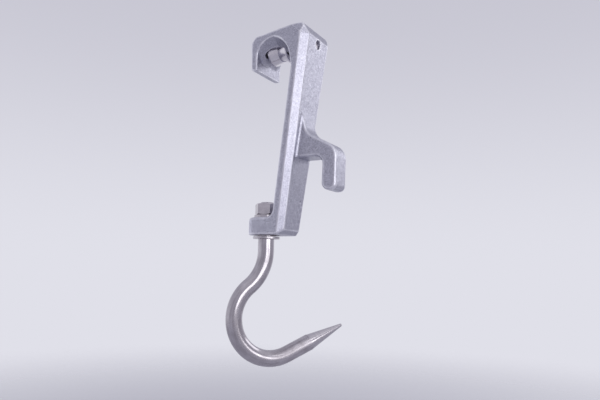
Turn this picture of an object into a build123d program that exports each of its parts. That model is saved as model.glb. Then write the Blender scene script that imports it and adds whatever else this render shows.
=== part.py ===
"""Roller hook for an overhead tube rail, as used to carry meat through a processing line.

A cast aluminium frame hangs from the rail by a waisted stainless roller on two small ball
bearings. A stainless swivel hook turns in the foot of the frame, and a cast horn on the front
gives the pusher and the lifting gear something to hold.

Frame of the part, in millimetres: +Z is up, X runs along the rail and -Y is the front. The
origin is the seat, the lowest point of the roller's waist, which rests on top of the rail.
"""
import os
from math import cos, radians, sin, sqrt, tan

from build123d import *

# Heights above the seat, and places along Y, that fix the casting
HEAD_FRONT_TOP_Z = 29.8
HEAD_BACK_TOP_Z = 24.5
HEAD_BOTTOM_Z = -14.5
HEAD_BACK_Y = 26.5
FOOT_BOTTOM_Z = -198.5
FOOT_THICKNESS = 19.5
FOOT_TOP_Z = FOOT_BOTTOM_Z + FOOT_THICKNESS
ROD_Y = 16.0

# The plate between head and foot: it leans forward and widens on its way up
PLATE_FRONT_Y = -44.2
PLATE_BACK_Y = -28.9
PLATE_LEAN = tan(radians(8.1))
HALF_WIDTH_AT_SEAT = 28.9
WIDENING = 0.0357
PLAN_TAPER = 0.07
CHAMFER_AT_SEAT = 7.6
CHAMFER_GROWTH = 0.009
TOP_CHAMFER_DEPTH = 6.0
TOP_CHAMFER_HEIGHT = 12.0
TOP_CORNER_DROP = 14.5
TOP_CORNER_RUN = 14.0
TOP_CORNER_INSET = 3.3
BOTTOM_CHAMFER_DEPTH = 6.0
BOTTOM_CHAMFER_HEIGHT = 5.0
BLANK_BACK_Y = 40.0
FOOT_FILLET = 9.0
FOOT_END_RADIUS = 19.5
FOOT_TOP_RADIUS = 3.5
CAST_EDGE_RADIUS = 1.5

# The arch over the rail, which flares towards both side faces of the head
ARCH_TOP_Z = 19.5
ARCH_CENTRE_Y = -4.5
ARCH_FRONT_Y = -24.5
ARCH_BACK_Y = 18.5
ARCH_FLARE = 9.0
ARCH_EDGE_BREAK = 0.9
ARCH_FRONT_DROP = 21.5
ARCH_BACK_DROP = 14.0

# The horn on the front of the plate
HORN_WIDTH = 26.0
HORN_TOP_ROOT_Z = -66.0
HORN_THROAT = (-40.1, -88.9)
HORN_THROAT_RADIUS = 17.0
HORN_SHOULDER_Z = -107.6
HORN_SHOULDER_RADIUS = 17.0
HORN_FRONT_Y = -76.0
HORN_THICKNESS = 16.5
HORN_END_Z = -152.5
HORN_UNDERSIDE_Z = -115.8
HORN_EDGE_RADIUS = 3.0

# The roller, its bearings and its axle
ROLLER_WAIST = 24.0
ROLLER_RIM = 29.6
ROLLER_LENGTH = 25.0
ROLLER_AXIS_Z = ROLLER_WAIST / 2
WINDOW_HALF_X = 16.4
WINDOW_HALF_Y = 14.2
AXLE_DIAMETER = 10.0
AXLE_RECESS = 2.6
AXLE_END_Y = 22.5
BEARING_OUTSIDE = 19.0
BEARING_WIDTH = 5.0
BEARING_INSET = 2.4
BALL_DIAMETER = 2.5
BALL_COUNT = 9
RING_WALL = 1.45
RACE_CLEARANCE = 0.03
SEAL_THICKNESS = 0.4
CIRCLIP_THICKNESS = 1.0
SPACER_DIAMETER = 13.0

# The swivel hook, its nut and its washers
ROD_DIAMETER = 18.0
SPINDLE_DIAMETER = 16.0
BUSH_OUTSIDE = 20.0
SWIVEL_CLEARANCE = 0.1
LOWER_WASHER_GAP = 1.5
LOWER_WASHER_THICKNESS = 2.5
UPPER_WASHER_THICKNESS = 3.0
WASHER_OUTSIDE = 30.0
SPOT_FACE_DIAMETER = 29.0
NUT_ACROSS_FLATS = 24.0
NUT_HEIGHT = 13.0
NUT_CHAMFER_DIAMETER = 22.4
NUT_TURN = -14.0
BOWL_RADIUS = 44.0
BOWL_OFFSET = 9.5
BOWL_DROP = 90.5
NECK_RADIUS = 50.0
TIP_ANGLE = 24.2
TIP_RUN = 75.0
CONE_LENGTH = 45.0
TIP_DIAMETER = 3.6
HOOK_SWIVEL_ANGLE = -37.0


def front_y(z):
    """Y of the plate's front face at a height."""
    return PLATE_FRONT_Y - PLATE_LEAN * z


def back_y(z):
    """Y of the plate's back face at a height."""
    return PLATE_BACK_Y - PLATE_LEAN * z


def half_width(z):
    """Half of the casting's width at the front of its side faces."""
    return HALF_WIDTH_AT_SEAT + WIDENING * z


def side_sketch(points, *corners):
    """Closed outline in the YZ plane; each corner is (index of its point, radius)."""
    outline = make_face(Polyline(*points, close=True))
    for index, radius in corners:
        vertex = outline.vertices().sort_by_distance((*points[index], 0))[0]
        outline = fillet(vertex, radius)
    return outline


def plan_corners(z):
    """Right-hand corners of the casting's plan at a height, from the front to the back."""
    width = half_width(z)
    chamfer_size = CHAMFER_AT_SEAT + CHAMFER_GROWTH * z
    shoulder_y = front_y(z) + chamfer_size
    back_width = width - PLAN_TAPER * (BLANK_BACK_Y - shoulder_y)
    corners = [(0, front_y(z)), (width - chamfer_size, front_y(z)), (width, shoulder_y)]
    return [Vector(x, y, z) for x, y in [*corners, (back_width, BLANK_BACK_Y)]]


def side_face(first, mirror=1):
    """Plane of one front or side face of the casting, from the plan corner that starts it."""
    here, following = plan_corners(FOOT_BOTTOM_Z)[first : first + 2]
    above = plan_corners(HEAD_FRONT_TOP_Z)[first]
    along = following - here
    outward = along.cross(above - here)
    origin = (mirror * here.X, here.Y, here.Z)
    x_dir = (mirror * along.X, along.Y, along.Z)
    return Plane(origin, x_dir=x_dir, z_dir=(mirror * outward.X, outward.Y, outward.Z))


def top_corner_plane(side):
    """Plane that trims one front top corner of the head, leaning in towards the top edge."""
    flat_top_z = HEAD_FRONT_TOP_Z - TOP_CHAMFER_HEIGHT
    front = front_y(flat_top_z) + TOP_CHAMFER_DEPTH
    width = half_width(HEAD_FRONT_TOP_Z)
    low = Vector(side * width, front + 1, HEAD_FRONT_TOP_Z - TOP_CORNER_DROP)
    back = Vector(side * (width - PLAN_TAPER * TOP_CORNER_RUN), front + TOP_CORNER_RUN, HEAD_FRONT_TOP_Z)
    corner = Vector(side * (width - TOP_CORNER_INSET), front, HEAD_FRONT_TOP_Z)
    normal = (corner - low).cross(back - low)
    outward = normal if normal.X * side > 0 else -normal
    return Plane(low, z_dir=outward)


def casting_blank():
    """Tapered bar that holds the casting: flat front, two chamfers and two drafted sides."""
    height = HEAD_FRONT_TOP_Z - FOOT_BOTTOM_Z + 4
    middle = (HEAD_FRONT_TOP_Z + FOOT_BOTTOM_Z) / 2
    blank = Pos(0, 0, middle) * Box(80, 2 * BLANK_BACK_Y + 40, height)
    for first, mirror in ((0, 1), (1, 1), (1, -1), (2, 1), (2, -1)):
        blank = split(blank, bisect_by=side_face(first, mirror), keep=Keep.BOTTOM)
    for side in (-1, 1):
        blank = split(blank, bisect_by=top_corner_plane(side), keep=Keep.BOTTOM)
    return blank


def casting_profile():
    """Side view of head, plate and foot as one outline."""
    flat_top_z = HEAD_FRONT_TOP_Z - TOP_CHAMFER_HEIGHT
    points = [
        (BLANK_BACK_Y, FOOT_BOTTOM_Z),
        (BLANK_BACK_Y, FOOT_TOP_Z),
        (back_y(FOOT_TOP_Z), FOOT_TOP_Z),
        (back_y(HEAD_BOTTOM_Z), HEAD_BOTTOM_Z),
        (HEAD_BACK_Y, HEAD_BOTTOM_Z),
        (HEAD_BACK_Y, HEAD_BACK_TOP_Z - 6.5),
        (HEAD_BACK_Y - 5.5, HEAD_BACK_TOP_Z),
        (front_y(flat_top_z) + TOP_CHAMFER_DEPTH, HEAD_FRONT_TOP_Z),
        (front_y(flat_top_z), flat_top_z),
        (front_y(FOOT_BOTTOM_Z + BOTTOM_CHAMFER_HEIGHT), FOOT_BOTTOM_Z + BOTTOM_CHAMFER_HEIGHT),
        (front_y(FOOT_BOTTOM_Z) + BOTTOM_CHAMFER_DEPTH, FOOT_BOTTOM_Z),
    ]
    return side_sketch(points, (2, FOOT_FILLET), (4, 2.5), (5, 3), (6, 3), (7, 4), (8, 4))


def arch_outline(drop, grow=0.0):
    """Outline of the arch in (Y, Z), lowered by the flare or widened all round."""
    crown = ARCH_TOP_Z - drop + grow
    front = ARCH_FRONT_Y - grow
    back = ARCH_BACK_Y + grow
    below_head_z = HEAD_BOTTOM_Z - 3
    start = (back_y(below_head_z), below_head_z)
    head_corner = (back_y(HEAD_BOTTOM_Z), HEAD_BOTTOM_Z)
    spring_front = (front, ARCH_TOP_Z - drop - ARCH_FRONT_DROP)
    over_front = (front + 5.9 + 0.3 * grow, crown - 9.5 - 0.3 * grow)
    top = (ARCH_CENTRE_Y, crown)
    over_back = (ARCH_CENTRE_Y + 14 + 0.6 * grow, crown - 3.6 - 0.2 * grow)
    spring_back = (back, ARCH_TOP_Z - drop - ARCH_BACK_DROP)
    end = (back + 0.5, below_head_z)
    edges = [
        Line(start, head_corner),
        Line(head_corner, spring_front),
        ThreePointArc(spring_front, over_front, top),
        ThreePointArc(top, over_back, spring_back),
        Line(spring_back, end),
        Line(end, start),
    ]
    return make_face(edges)


def arch_cutter():
    """The passage for the rail: straight in the middle, flared and edge-broken at both mouths."""
    inner_x = WINDOW_HALF_X - 1
    mouth = side_face(2)
    shoulder_y = front_y(0) + CHAMFER_AT_SEAT
    mouth.origin = (HALF_WIDTH_AT_SEAT + PLAN_TAPER * shoulder_y, 0, 0)
    narrow = Plane.YZ.offset(inner_x) * arch_outline(ARCH_FLARE)
    before_edge = mouth.offset(-ARCH_EDGE_BREAK) * arch_outline(0)
    at_edge = mouth * arch_outline(0, ARCH_EDGE_BREAK)
    flared = loft([narrow, before_edge], ruled=True)
    broken = loft([before_edge, at_edge], ruled=True)
    beyond = extrude(at_edge, amount=4)
    one_side = flared + broken + beyond
    middle = extrude(Plane.YZ.offset(-inner_x) * arch_outline(ARCH_FLARE), amount=2 * inner_x)
    return middle + one_side + mirror(one_side, about=Plane.YZ)


def foot_end_cutter():
    """What is trimmed from the foot to leave a tongue with a round end about the rod."""
    start_y = back_y(FOOT_BOTTOM_Z) + 1
    root = Pos(0, start_y) * Rectangle(2 * half_width(FOOT_TOP_Z) - 1.0, 0.2)
    tongue = make_hull((root + Pos(0, ROD_Y) * Circle(FOOT_END_RADIUS)).edges())
    height = FOOT_THICKNESS + FOOT_FILLET + 6
    block = Pos(0, start_y + 30) * Rectangle(80, 60)
    return extrude(Plane.XY.offset(FOOT_BOTTOM_Z - 1) * (block - tongue), amount=height)


def horn():
    """The hooked horn: a neck that falls forward from the plate and a finger that hangs down."""
    inner_y = HORN_FRONT_Y + HORN_THICKNESS
    points = [
        (front_y(HORN_TOP_ROOT_Z) + 2, HORN_TOP_ROOT_Z + 8),
        (front_y(HORN_TOP_ROOT_Z), HORN_TOP_ROOT_Z),
        HORN_THROAT,
        (HORN_FRONT_Y, HORN_SHOULDER_Z),
        (HORN_FRONT_Y + 0.8, HORN_END_Z),
        (inner_y + 1.4, HORN_END_Z),
        (inner_y, HORN_UNDERSIDE_Z),
        (front_y(HORN_UNDERSIDE_Z) + 5, HORN_UNDERSIDE_Z),
    ]
    corners = ((2, HORN_THROAT_RADIUS), (3, HORN_SHOULDER_RADIUS), (4, 6), (5, 8.5), (6, 9))
    return extrude(Plane.YZ * side_sketch(points, *corners), amount=HORN_WIDTH / 2, both=True)


def at_foot_top(edge):
    """Whether an edge is the rounded end of the foot's top face."""
    return edge.geom_type == GeomType.CIRCLE and abs(edge.center().Z - FOOT_TOP_Z) < 0.01


def at_horn_root(edge):
    """Whether an edge is where the horn meets the plate's front face."""
    middle = edge.center()
    on_face = all(abs(p.Y - front_y(p.Z)) < 0.05 for p in (middle, edge @ 0, edge @ 1))
    within = HORN_UNDERSIDE_Z - 1 < middle.Z < HORN_TOP_ROOT_Z + 1
    return on_face and within and abs(middle.X) < HORN_WIDTH / 2 + 0.1


def at_horn_side(edge):
    """Whether an edge bounds one of the horn's two flat side faces."""
    middle = edge.center()
    flat = abs(abs(middle.X) - HORN_WIDTH / 2) < 0.02 and abs((edge @ 0).X - (edge @ 1).X) < 0.01
    return flat and middle.Y < front_y(middle.Z) - 0.02


def frame_casting():
    """The whole one-piece casting with its rounded edges and its machined window and bores."""
    body = casting_blank() & extrude(Plane.YZ * casting_profile(), amount=40, both=True)
    body -= foot_end_cutter()
    body = fillet(body.edges().filter_by(at_foot_top), FOOT_TOP_RADIUS)
    body = fillet(body.edges(), CAST_EDGE_RADIUS)
    body += horn()
    body = fillet(body.edges().filter_by(at_horn_root), HORN_EDGE_RADIUS)
    body = fillet(body.edges().filter_by(at_horn_side), HORN_EDGE_RADIUS)
    body -= arch_cutter()
    window = Pos(0, 0, ROLLER_AXIS_Z) * Box(2 * WINDOW_HALF_X, 2 * WINDOW_HALF_Y, 60)
    axle_bore = Pos(0, AXLE_END_Y, ROLLER_AXIS_Z) * Rot(90, 0, 0) * Cylinder(
        AXLE_DIAMETER / 2, 80, align=(Align.CENTER, Align.CENTER, Align.MIN)
    )
    bush_bore = Pos(0, ROD_Y, FOOT_BOTTOM_Z) * Cylinder(BUSH_OUTSIDE / 2, 80)
    spot_face = Pos(0, ROD_Y, FOOT_TOP_Z) * Cylinder(
        SPOT_FACE_DIAMETER / 2, 40, align=(Align.CENTER, Align.CENTER, Align.MIN)
    )
    return body - window - axle_bore - bush_bore - spot_face


def turned(points):
    """Ring turned about the roller's axis, from a section of (radius, place along the axis)."""
    section = make_face(Polyline(*points, close=True))
    return Pos(0, 0, ROLLER_AXIS_Z) * revolve(section, Axis.Y)


def plain_ring(inner, outer, start, end):
    """Plain ring about the roller's axis, from one place along it to another."""
    return turned([(inner, start), (outer, start), (outer, end), (inner, end)])


def roller():
    """Waisted roller: two cones that meet at the waist, bored from both ends for the bearings."""
    end = ROLLER_LENGTH / 2
    rim = ROLLER_RIM / 2
    seat = BEARING_OUTSIDE / 2
    bearing_face = end - BEARING_INSET
    half = [
        (rim, 10.4),
        (rim, end - 0.7),
        (rim - 0.7, end),
        (seat + 0.3, end),
        (seat, end - 0.3),
        (seat, bearing_face - 0.05 + CIRCLIP_THICKNESS + 0.1),
        (seat + 0.5, bearing_face - 0.05 + CIRCLIP_THICKNESS + 0.1),
        (seat + 0.5, bearing_face - 0.05),
        (seat, bearing_face - 0.05),
        (seat, bearing_face - BEARING_WIDTH),
        (seat - 1.5, bearing_face - BEARING_WIDTH),
    ]
    mirrored = [(radius, -y) for radius, y in reversed(half)]
    return turned([(ROLLER_WAIST / 2, 0), *half, *mirrored])


def bearing_centre(side):
    """Place along the axis of the middle of one bearing; side is -1 in front and 1 behind."""
    return side * (ROLLER_LENGTH / 2 - BEARING_INSET - BEARING_WIDTH / 2)


def pitch_radius():
    """Radius of the circle that the ball centres run on."""
    return (BEARING_OUTSIDE + AXLE_DIAMETER) / 4


def race_cutter(side):
    """The round groove that the balls run in, as a torus."""
    groove = Torus(pitch_radius(), BALL_DIAMETER / 2 + RACE_CLEARANCE)
    return Pos(0, bearing_centre(side), ROLLER_AXIS_Z) * Rot(90, 0, 0) * groove


def bearing_outer_ring(side):
    """Outer ring of one bearing, pressed in the roller."""
    outer = BEARING_OUTSIDE / 2 - 0.01
    middle = bearing_centre(side)
    half = BEARING_WIDTH / 2
    return plain_ring(outer - RING_WALL, outer, middle - half, middle + half) - race_cutter(side)


def bearing_inner_ring(side):
    """Inner ring of one bearing, on the axle."""
    inner = AXLE_DIAMETER / 2 + 0.01
    middle = bearing_centre(side)
    half = BEARING_WIDTH / 2
    return plain_ring(inner, inner + RING_WALL, middle - half, middle + half) - race_cutter(side)


def around_bearing(side, shape):
    """One copy of a shape at each ball's place, turned to face the axle."""
    centre = Pos(0, bearing_centre(side), ROLLER_AXIS_Z) * Rot(90, 0, 0)
    return [centre * place * shape for place in PolarLocations(pitch_radius(), BALL_COUNT)]


def bearing_balls(side):
    """The balls of one bearing, as a group of separate solids."""
    return Compound(children=around_bearing(side, Sphere(BALL_DIAMETER / 2)))


def bearing_cage(side):
    """Cage of one bearing: a thin ring with a round pocket for each ball."""
    middle = bearing_centre(side)
    radius = pitch_radius()
    ring = plain_ring(radius - 0.4, radius + 0.4, middle - 1.6, middle + 1.6)
    pocket = Rot(0, 90, 0) * Cylinder(BALL_DIAMETER / 2 + 0.06, 3)
    for hole in around_bearing(side, pocket):
        ring -= hole
    return ring


def bearing_seal(side, face):
    """Thin seal in one face of a bearing; face is -1 in front and 1 behind."""
    outer = BEARING_OUTSIDE / 2 - 0.01 - RING_WALL
    inner = AXLE_DIAMETER / 2 + 0.01 + RING_WALL + 0.06
    near = bearing_centre(side) + face * (BEARING_WIDTH / 2 - 0.1)
    far = near - face * SEAL_THICKNESS
    return plain_ring(inner, outer, min(near, far), max(near, far))


def circlip(side):
    """Internal circlip that keeps one bearing in the roller: a split ring with two eared ends."""
    outer = BEARING_OUTSIDE / 2 + 0.45
    ring = Circle(outer) - Pos(0, 0.35) * Circle(outer - 1.35)
    ears = [Pos(x, outer - 1.9) * (Circle(1.0) - Circle(0.45)) for x in (-1.7, 1.7)]
    clip = ring - Pos(0, outer) * Rectangle(1.5, 4.0)
    clip = extrude(clip + ears[0] + ears[1], amount=CIRCLIP_THICKNESS)
    face = ROLLER_LENGTH / 2 - BEARING_INSET
    start = face + CIRCLIP_THICKNESS if side > 0 else -face
    return Pos(0, start, ROLLER_AXIS_Z) * Rot(90, 0, 0) * clip


def side_spacer(side):
    """Spacer sleeve between an inner ring and the cheek of the window."""
    near = ROLLER_LENGTH / 2 - BEARING_INSET
    far = WINDOW_HALF_Y - 0.05
    inner = AXLE_DIAMETER / 2 + 0.01
    start, end = (near, far) if side > 0 else (-far, -near)
    return plain_ring(inner, SPACER_DIAMETER / 2 - 0.1, start, end)


def bearing_spacer():
    """Sleeve on the axle that keeps the two inner rings apart."""
    half = ROLLER_LENGTH / 2 - BEARING_INSET - BEARING_WIDTH
    return plain_ring(AXLE_DIAMETER / 2 + 0.01, SPACER_DIAMETER / 2 - 0.1, -half, half)


def axle_pin():
    """Plain axle, pressed in from the front until it stops in the blind bore of the back cheek."""
    start = front_y(ROLLER_AXIS_Z) + AXLE_RECESS
    radius = AXLE_DIAMETER / 2
    points = [
        (0, start),
        (radius - 0.8, start),
        (radius, start + 0.8),
        (radius, AXLE_END_Y - 0.8),
        (radius - 0.8, AXLE_END_Y),
        (0, AXLE_END_Y),
    ]
    return turned(points)


def about_rod(shape, z):
    """Put a shape on the rod's axis at a height."""
    return Pos(0, ROD_Y, z) * shape


def disc_washer(inner, outer, thickness):
    """Flat washer with its edges just broken."""
    ring = extrude(Circle(outer / 2) - Circle(inner / 2), amount=thickness)
    return chamfer(ring.edges().filter_by(GeomType.CIRCLE), 0.3)


def lower_washer():
    """Washer under the foot, on the shoulder of the hook."""
    washer = disc_washer(SPINDLE_DIAMETER + 0.4, WASHER_OUTSIDE, LOWER_WASHER_THICKNESS)
    return about_rod(washer, FOOT_BOTTOM_Z - LOWER_WASHER_GAP - LOWER_WASHER_THICKNESS)


def upper_washer():
    """Washer between the foot and the nut."""
    washer = disc_washer(SPINDLE_DIAMETER + 1, WASHER_OUTSIDE - 2, UPPER_WASHER_THICKNESS)
    return about_rod(washer, FOOT_TOP_Z)


def foot_bush():
    """Plain bush pressed in the foot, which the hook's spindle turns in."""
    inner = SPINDLE_DIAMETER / 2 + SWIVEL_CLEARANCE
    ring = Circle(BUSH_OUTSIDE / 2 - 0.01) - Circle(inner)
    return about_rod(extrude(ring, amount=FOOT_THICKNESS - 0.1), FOOT_BOTTOM_Z)


def hook_nut():
    """Hexagon nut with both faces chamfered round, screwed down on the spindle."""
    corner = NUT_ACROSS_FLATS / 2 / cos(radians(30))
    flats = extrude(RegularPolygon(NUT_ACROSS_FLATS / 2, 6, major_radius=False), amount=NUT_HEIGHT)
    flat_radius = NUT_CHAMFER_DIAMETER / 2
    chamfer_height = (corner - flat_radius) * tan(radians(30))
    rounded = [
        (0, 0),
        (flat_radius, 0),
        (corner, chamfer_height),
        (corner, NUT_HEIGHT - chamfer_height),
        (flat_radius, NUT_HEIGHT),
        (0, NUT_HEIGHT),
    ]
    limit = revolve(Plane.XZ * make_face(Polyline(*rounded, close=True)), Axis.Z)
    nut = (flats & limit) - Cylinder(SPINDLE_DIAMETER / 2 + 0.01, 3 * NUT_HEIGHT)
    return about_rod(Rot(0, 0, NUT_TURN) * nut, FOOT_TOP_Z + UPPER_WASHER_THICKNESS)


def hook_path(shoulder_z):
    """Centre line of the bent bar: shank, neck, bowl and the straight run to the tip."""
    neck_z = -BOWL_DROP + sqrt((NECK_RADIUS + BOWL_RADIUS) ** 2 - (NECK_RADIUS + BOWL_OFFSET) ** 2)
    neck_turn = Vector(NECK_RADIUS + BOWL_OFFSET, neck_z + BOWL_DROP).get_angle(Vector(1, 0))
    run_start = 270 + TIP_ANGLE
    bowl_centre = Vector(BOWL_OFFSET, -BOWL_DROP)
    run_from = bowl_centre + Vector(BOWL_RADIUS, 0).rotate(Axis.Z, run_start)
    bar_run = TIP_RUN - CONE_LENGTH
    run_to = run_from + Vector(bar_run, 0).rotate(Axis.Z, TIP_ANGLE)
    shank = Line((0, shoulder_z), (0, neck_z))
    neck = CenterArc((-NECK_RADIUS, neck_z), NECK_RADIUS, 0, -neck_turn)
    bowl = CenterArc(bowl_centre, BOWL_RADIUS, 180 - neck_turn, run_start - 180 + neck_turn)
    run = Line(run_from, run_to)
    return Wire([Plane.XZ * edge for edge in (shank, neck, bowl, run)]), run_to


def hook_tip(start):
    """Turned point: a fine step, a long cone and a rounded end, along the last run."""
    radius = ROD_DIAMETER / 2
    blunt = TIP_DIAMETER / 2
    section = make_face(
        [
            Line((0, 0), (radius - 0.35, 0)),
            Line((radius - 0.35, 0), (radius - 0.6, 2.5)),
            Line((radius - 0.6, 2.5), (blunt, CONE_LENGTH - blunt)),
            ThreePointArc(
                (blunt, CONE_LENGTH - blunt),
                (blunt * sin(radians(45)), CONE_LENGTH - blunt * (1 - cos(radians(45)))),
                (0, CONE_LENGTH),
            ),
            Line((0, CONE_LENGTH), (0, 0)),
        ]
    )
    cone = revolve(Plane.XZ * section, Axis.Z)
    return Pos(start.X, 0, start.Y) * Rot(0, 90 - TIP_ANGLE, 0) * cone


def swivel_hook():
    """The hook: a bent round bar with a turned point and a turned spindle above its shoulder."""
    shoulder_z = -LOWER_WASHER_GAP - LOWER_WASHER_THICKNESS
    path, tip_start = hook_path(shoulder_z)
    bar = sweep(Pos(0, 0, shoulder_z) * Circle(ROD_DIAMETER / 2), path=path)
    spindle_top = FOOT_THICKNESS + UPPER_WASHER_THICKNESS + NUT_HEIGHT + 1.5
    spindle = Pos(0, 0, shoulder_z) * Cylinder(
        SPINDLE_DIAMETER / 2,
        spindle_top - shoulder_z,
        align=(Align.CENTER, Align.CENTER, Align.MIN),
    )
    spindle = chamfer(spindle.edges().sort_by(Axis.Z)[-1], 1.2)
    hook = bar + hook_tip(tip_start) + spindle
    return about_rod(Rot(0, 0, HOOK_SWIVEL_ANGLE) * hook, FOOT_BOTTOM_Z)


def all_pieces():
    """Every piece by its node name."""
    pieces = {
        "frame_casting": frame_casting(),
        "axle_pin": axle_pin(),
        "roller": roller(),
        "bearing_spacer": bearing_spacer(),
        "foot_bush": foot_bush(),
        "upper_washer": upper_washer(),
        "lower_washer": lower_washer(),
        "hook_nut": hook_nut(),
        "swivel_hook": swivel_hook(),
    }
    for name, side in (("front", -1), ("rear", 1)):
        pieces[f"{name}_bearing_outer_ring"] = bearing_outer_ring(side)
        pieces[f"{name}_bearing_inner_ring"] = bearing_inner_ring(side)
        pieces[f"{name}_bearing_balls"] = bearing_balls(side)
        pieces[f"{name}_bearing_cage"] = bearing_cage(side)
        pieces[f"{name}_bearing_outer_seal"] = bearing_seal(side, side)
        pieces[f"{name}_bearing_inner_seal"] = bearing_seal(side, -side)
        pieces[f"{name}_circlip"] = circlip(side)
        pieces[f"{name}_side_spacer"] = side_spacer(side)
    return pieces


def main():
    """Write one STEP file for each piece."""
    os.makedirs("parts", exist_ok=True)
    for name, piece in all_pieces().items():
        export_step(piece, f"parts/{name}.step")


if __name__ == "__main__":
    main()
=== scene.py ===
"""Looks of the overhead roller hook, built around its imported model."""

import logging
import math
from dataclasses import dataclass, field
from enum import Enum

import bmesh
import bpy
import numpy as np
from mathutils import Matrix, Vector, noise


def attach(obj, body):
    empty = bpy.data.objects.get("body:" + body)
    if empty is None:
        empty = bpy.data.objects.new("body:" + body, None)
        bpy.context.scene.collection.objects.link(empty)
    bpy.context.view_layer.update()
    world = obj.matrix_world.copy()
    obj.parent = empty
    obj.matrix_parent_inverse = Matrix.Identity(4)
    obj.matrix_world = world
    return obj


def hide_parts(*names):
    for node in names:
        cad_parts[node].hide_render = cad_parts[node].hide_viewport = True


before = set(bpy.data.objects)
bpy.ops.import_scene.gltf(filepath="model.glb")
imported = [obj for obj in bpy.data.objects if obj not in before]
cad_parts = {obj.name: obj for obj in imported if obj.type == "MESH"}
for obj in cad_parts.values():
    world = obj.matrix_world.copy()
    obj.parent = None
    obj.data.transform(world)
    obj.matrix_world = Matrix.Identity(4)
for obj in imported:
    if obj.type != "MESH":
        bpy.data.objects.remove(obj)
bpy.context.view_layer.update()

logging.basicConfig(level=logging.INFO, format="%(message)s")
log = logging.getLogger("roller_hook")

MM = 0.001
PHOTO_WIDTH = 600
SENSOR_WIDTH_MM = 36.0
AXLE_HEIGHT_MM = 12.0
ROD_PLACE_MM = (0.0, 16.0, 0.0)
BAR_PLACE = "bar_place"

# Places of a mix node's sockets for numbers and for colours, which share their names.
FIRST_NUMBER, SECOND_NUMBER = 2, 3
FIRST_COLOUR, SECOND_COLOUR, MIXED_COLOUR = 6, 7, 2

# Settings that several nodes share.
SOFT = {"interpolation_type": "SMOOTHSTEP"}
PRODUCT = {"operation": "MULTIPLY"}
DOT_PRODUCT = {"operation": "DOT_PRODUCT"}
LENGTH = {"operation": "LENGTH"}
MIX_COLOURS = {"data_type": "RGBA"}
MULTIPLY_COLOURS = {"data_type": "RGBA", "blend_type": "MULTIPLY"}

Place = tuple[float, float, float]
Range = tuple[float, float]
Stops = tuple[tuple[float, str], ...]
Tree = bpy.types.NodeTree
Node = bpy.types.Node
Socket = bpy.types.NodeSocket


class Turning(Enum):
    """What a piece was turned about, which gives its fine marks their direction."""

    NOTHING = "nothing"
    AXLE = "axle"
    ROD = "rod"


def linear(hex_colour: str) -> tuple[float, float, float, float]:
    """Turn an sRGB hex colour into the linear values that a shader takes.

    Args:
        hex_colour: Six hex digits, with or without a leading #.

    Returns:
        Red, green, blue and an alpha of 1.
    """
    digits = hex_colour.lstrip("#")
    parts = [int(digits[i : i + 2], 16) / 255 for i in (0, 2, 4)]
    values = [p / 12.92 if p <= 0.04045 else ((p + 0.055) / 1.055) ** 2.4 for p in parts]
    return (values[0], values[1], values[2], 1.0)


def per_mm(size_mm: float) -> float:
    """Scale of a pattern, in repeats per metre, from the real size of one repeat."""
    return 1.0 / (size_mm * MM)


def direction(azimuth_deg: float, elevation_deg: float) -> Vector:
    """Work out the unit vector that points a given way.

    Args:
        azimuth_deg: Azimuth, counted from +X towards +Y.
        elevation_deg: Elevation above level.

    Returns:
        The unit vector.
    """
    azimuth, elevation = math.radians(azimuth_deg), math.radians(elevation_deg)
    level = math.cos(elevation)
    return Vector((level * math.cos(azimuth), level * math.sin(azimuth), math.sin(elevation)))


def add_node(
    tree: Tree,
    kind: str,
    settings: dict[str, object] | None = None,
    inputs: dict[str | int, object] | None = None,
    stops: Stops = (),
) -> Node:
    """Add a node, give it its settings, and fill or link its inputs.

    Args:
        tree: The node tree that takes the node.
        kind: The node's type name.
        settings: Attributes of the node.
        inputs: Input name or place to a plain value, or to the socket that feeds it.
        stops: Place from 0 to 1 and sRGB hex colour of the two ends, where the node is a ramp.

    Returns:
        The new node.
    """
    node = tree.nodes.new(kind)
    for name, value in (settings or {}).items():
        setattr(node, name, value)
    for name, value in (inputs or {}).items():
        if isinstance(value, bpy.types.NodeSocket):
            tree.links.new(value, node.inputs[name])
        else:
            node.inputs[name].default_value = value
    for number, (place, colour) in enumerate(stops):
        node.color_ramp.elements[number].position = place
        node.color_ramp.elements[number].color = linear(colour)
    return node


@dataclass(frozen=True)
class Pattern:
    """A noise pattern: the real size of its blotches and how much finer detail lies on them."""

    size_mm: float
    detail: float

    def on(self, where: Socket) -> dict[str, object]:
        """Inputs of the noise node that draws the pattern on some coordinates."""
        return {"Vector": where, "Scale": per_mm(self.size_mm), "Detail": self.detail}


@dataclass(frozen=True)
class Change:
    """A change from one range of values to another, with soft ends."""

    source: Range
    target: Range = (0.0, 1.0)

    def of(self, value: Socket) -> dict[str, object]:
        """Give the inputs of the map range node that makes the change.

        Args:
            value: The value that is changed.

        Returns:
            The node's inputs by name.
        """
        return {
            "Value": value,
            "From Min": self.source[0],
            "From Max": self.source[1],
            "To Min": self.target[0],
            "To Max": self.target[1],
        }


@dataclass(frozen=True)
class Relief:
    """How deep a surface pattern is cut and how strongly the light takes it."""

    depth_mm: float
    strength: float


def new_material(name: str) -> tuple[bpy.types.Material, Tree, Node]:
    """Start a material with one principled shader.

    Args:
        name: The material's name.

    Returns:
        The material, its node tree and its shader.
    """
    material = bpy.data.materials.new(name)
    material.use_nodes = True
    tree = material.node_tree
    tree.nodes.clear()
    shader = add_node(tree, "ShaderNodeBsdfPrincipled")
    add_node(tree, "ShaderNodeOutputMaterial", inputs={"Surface": shader.outputs["BSDF"]})
    return material, tree, shader


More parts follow.
